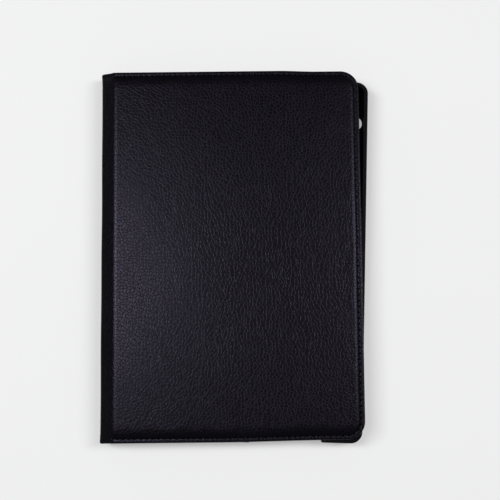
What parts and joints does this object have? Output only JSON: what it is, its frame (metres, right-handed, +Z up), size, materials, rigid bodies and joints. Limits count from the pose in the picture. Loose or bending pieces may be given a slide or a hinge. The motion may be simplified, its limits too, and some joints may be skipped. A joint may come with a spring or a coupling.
{
  "type": "rotating tablet case",
  "caption": "Folio case for a tablet: padded leather cover, soft spine and rear panel with a snap-in tray that turns on a swivel ring.",
  "frame": {"origin": "on the swivel axis, in the plane of the rear panel's outer face and of the round cap in it, which the closed case rests on", "axes": "+X towards the closing edge, away from the spine; +Y along the spine to the end where the tray's camera hole is; +Z up, out of the front cover"},
  "size_m": [0.1878, 0.259, 0.023],
  "materials": {
    "leather": "black imitation leather, pebbled grain, satin",
    "lining": "black brushed microfibre",
    "board": "grey compressed board",
    "foam": "dark sheet foam",
    "shell": "black moulded, fine matt texture",
    "swivel_plastic": "black moulded, satin",
    "washer": "natural nylon",
    "screw_steel": "zinc plated",
    "magnet": "nickel plated"
  },
  "bodies": {
    "rear_panel": {"rear_skin": "leather", "rear_holder_board": "board", "rear_leg_board": "board", "rear_lining": "lining", "swivel_base_ring": "swivel_plastic"},
    "spine": {"spine_skin": "leather", "spine_lining": "lining"},
    "front_cover": {"front_skin": "leather", "front_foam": "foam", "front_board": "board", "front_lining": "lining", "cover_magnets": "magnet", "stand_ridges": "leather"},
    "tray": {"tray_shell": "shell", "tray_skin": "leather", "tray_lining": "lining", "swivel_hub": "swivel_plastic", "friction_washer": "washer", "swivel_retainer": "swivel_plastic", "hub_screws": "screw_steel", "retainer_screws": "screw_steel", "disc_cap_board": "board", "disc_cap_skin": "leather"}
  },
  "joints": [
    {"name": "spine_fold", "type": "hinge", "parent": "rear_panel", "child": "spine", "pos_m": [-0.0937, 0, 0.0025], "axis": [0, -1, 0], "range_deg": [0, 179], "deforming": ["spine_skin", "spine_lining"]},
    {"name": "cover_fold", "type": "hinge", "parent": "spine", "child": "front_cover", "pos_m": [-0.0937, 0, 0.0205], "axis": [0, -1, 0], "range_deg": [0, 179]},
    {"name": "tray_swivel", "type": "hinge", "parent": "rear_panel", "child": "tray", "pos_m": [0, 0, 0], "axis": [0, 0, 1], "range_deg": [-180, 180]}
  ]
}
